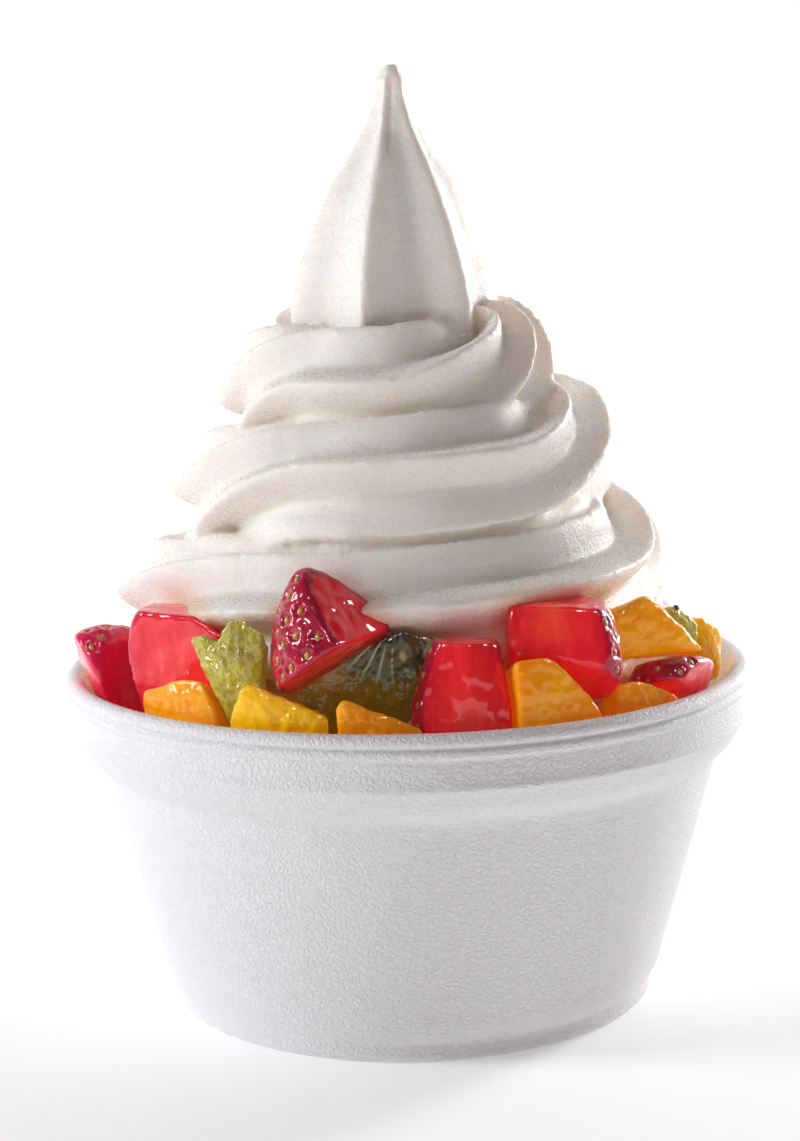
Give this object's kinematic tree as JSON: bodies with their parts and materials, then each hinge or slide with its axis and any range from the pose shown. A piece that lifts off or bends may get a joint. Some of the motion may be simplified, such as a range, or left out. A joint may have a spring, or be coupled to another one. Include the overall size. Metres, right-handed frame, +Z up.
{
  "type": "frozen yogurt cup",
  "caption": "Piped soft-serve frozen yogurt in a squat white foam cup, with cut strawberry, kiwi and mango packed round its foot.",
  "frame": {"origin": "middle of the cup's foot, on the surface it stands on", "axes": "+Z up through the peak of the swirl, -Y to the front, +X to the right"},
  "size_m": [0.1158, 0.1158, 0.1565],
  "materials": {
    "foam": "moulded expanded polystyrene foam, white, with a fine bead texture",
    "yogurt": "frozen soft-serve yogurt, off-white, satin with a fine icy grain",
    "mango": "cut mango flesh, orange-yellow, wet",
    "kiwi": "cut kiwi flesh, green, wet, with pale rays and dark seeds",
    "strawberry": "cut strawberry, red flesh and darker seeded skin, wet"
  },
  "bodies": {
    "root": {"cup": "foam", "kiwi_01": "kiwi", "kiwi_02": "kiwi", "kiwi_03": "kiwi", "kiwi_back_02": "kiwi", "kiwi_back_06": "kiwi", "kiwi_back_08": "kiwi", "mango_01": "mango", "mango_02": "mango", "mango_03": "mango", "mango_04": "mango", "mango_05": "mango", "mango_06": "mango", "mango_07": "mango", "mango_08": "mango", "mango_back_01": "mango", "mango_back_03": "mango", "mango_back_05": "mango", "mango_back_07": "mango", "mango_back_09": "mango", "mango_back_11": "mango", "strawberry_01": "strawberry", "strawberry_02": "strawberry", "strawberry_03": "strawberry", "strawberry_04": "strawberry", "strawberry_05": "strawberry", "strawberry_06": "strawberry", "strawberry_back_04": "strawberry", "strawberry_back_10": "strawberry", "yogurt": "yogurt"}
  },
  "joints": []
}
